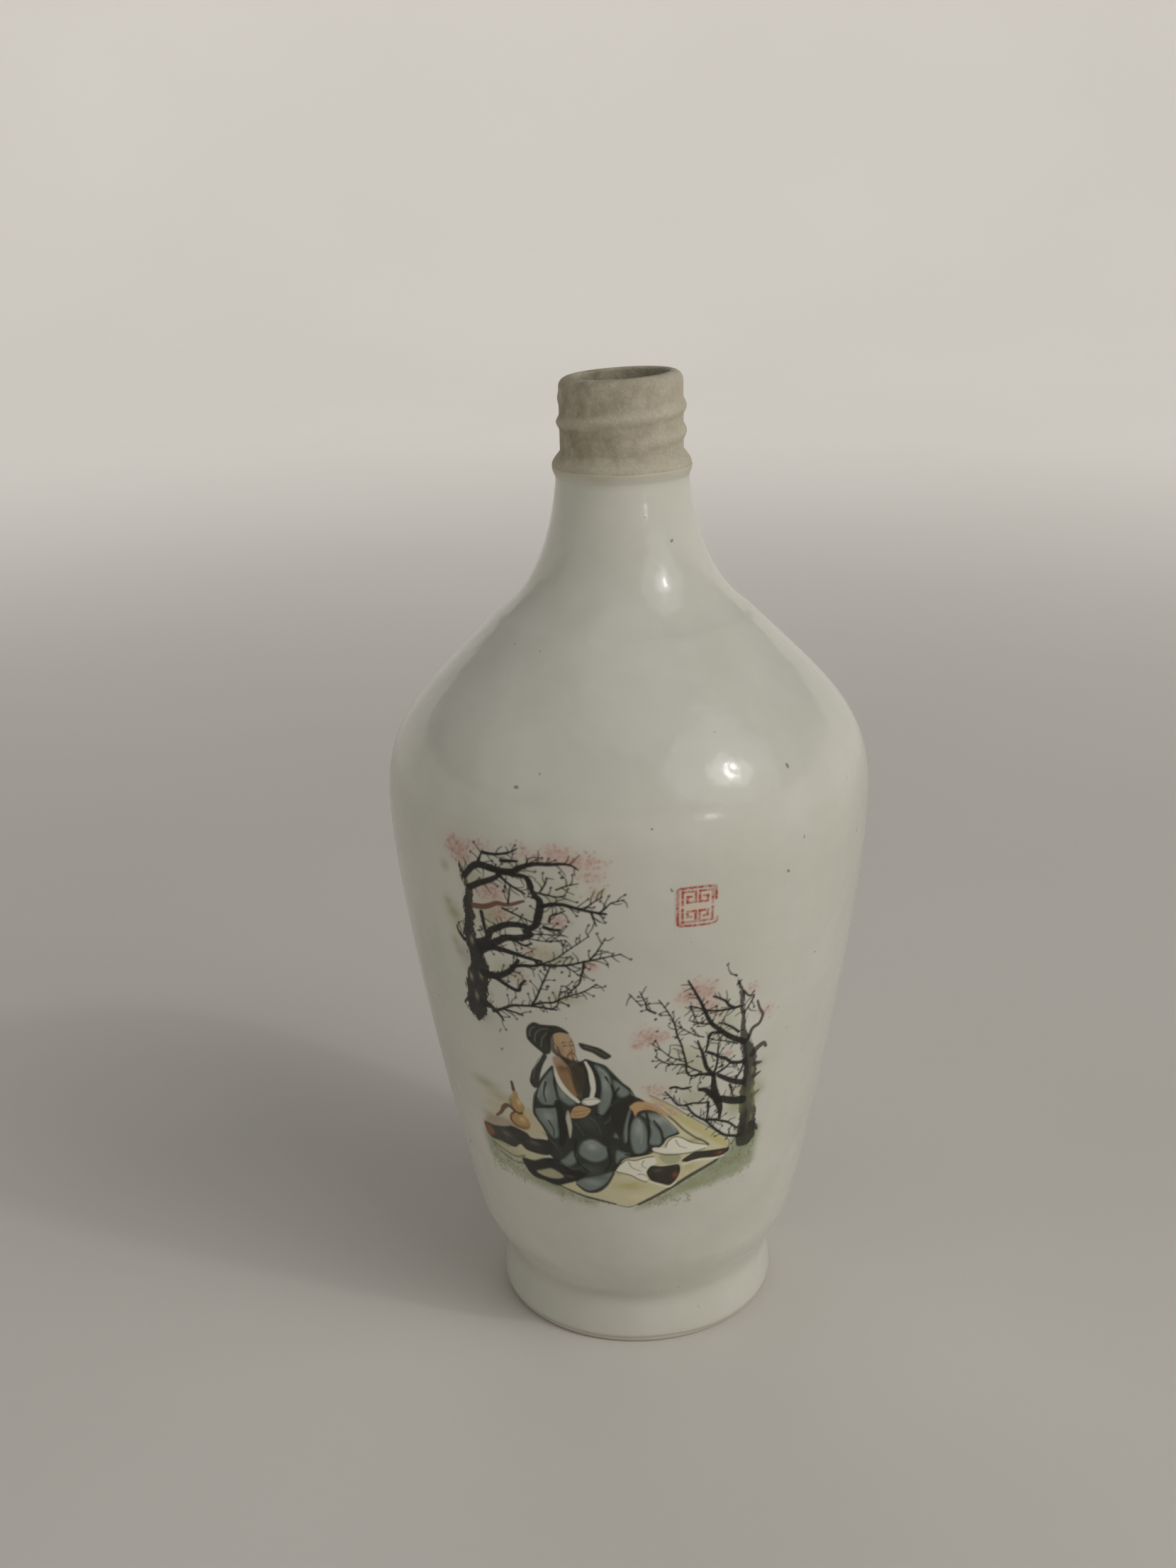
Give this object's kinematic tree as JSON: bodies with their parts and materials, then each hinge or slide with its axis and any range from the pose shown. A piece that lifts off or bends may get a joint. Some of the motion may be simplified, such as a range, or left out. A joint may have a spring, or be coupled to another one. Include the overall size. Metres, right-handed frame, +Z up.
{
  "type": "bottle",
  "caption": "Swelling porcelain liquor bottle on a low foot ring, with a bare screw-thread neck and a printed landscape on the front.",
  "frame": {"origin": "centre of the foot ring's resting face", "axes": "+Z up along the bottle's axis from foot to mouth; -Y faces the viewer, towards the printed picture; +X to the viewer's right"},
  "size_m": [0.0936, 0.0937, 0.19],
  "materials": {
    "bare_porcelain": "matte fired biscuit, stained with handling",
    "outer_glaze": "glossy cool white glaze",
    "glaze_lining": "glossy glaze lining",
    "picture_enamel": "fired overglaze enamel print, slightly raised",
    "seal_enamel": "fired red enamel print"
  },
  "bodies": {
    "root": {"porcelain_body": "bare_porcelain", "foot_ring": "bare_porcelain", "outer_glaze": "outer_glaze", "inner_glaze": "glaze_lining", "picture_transfer": "picture_enamel", "seal_transfer": "seal_enamel"}
  },
  "joints": []
}
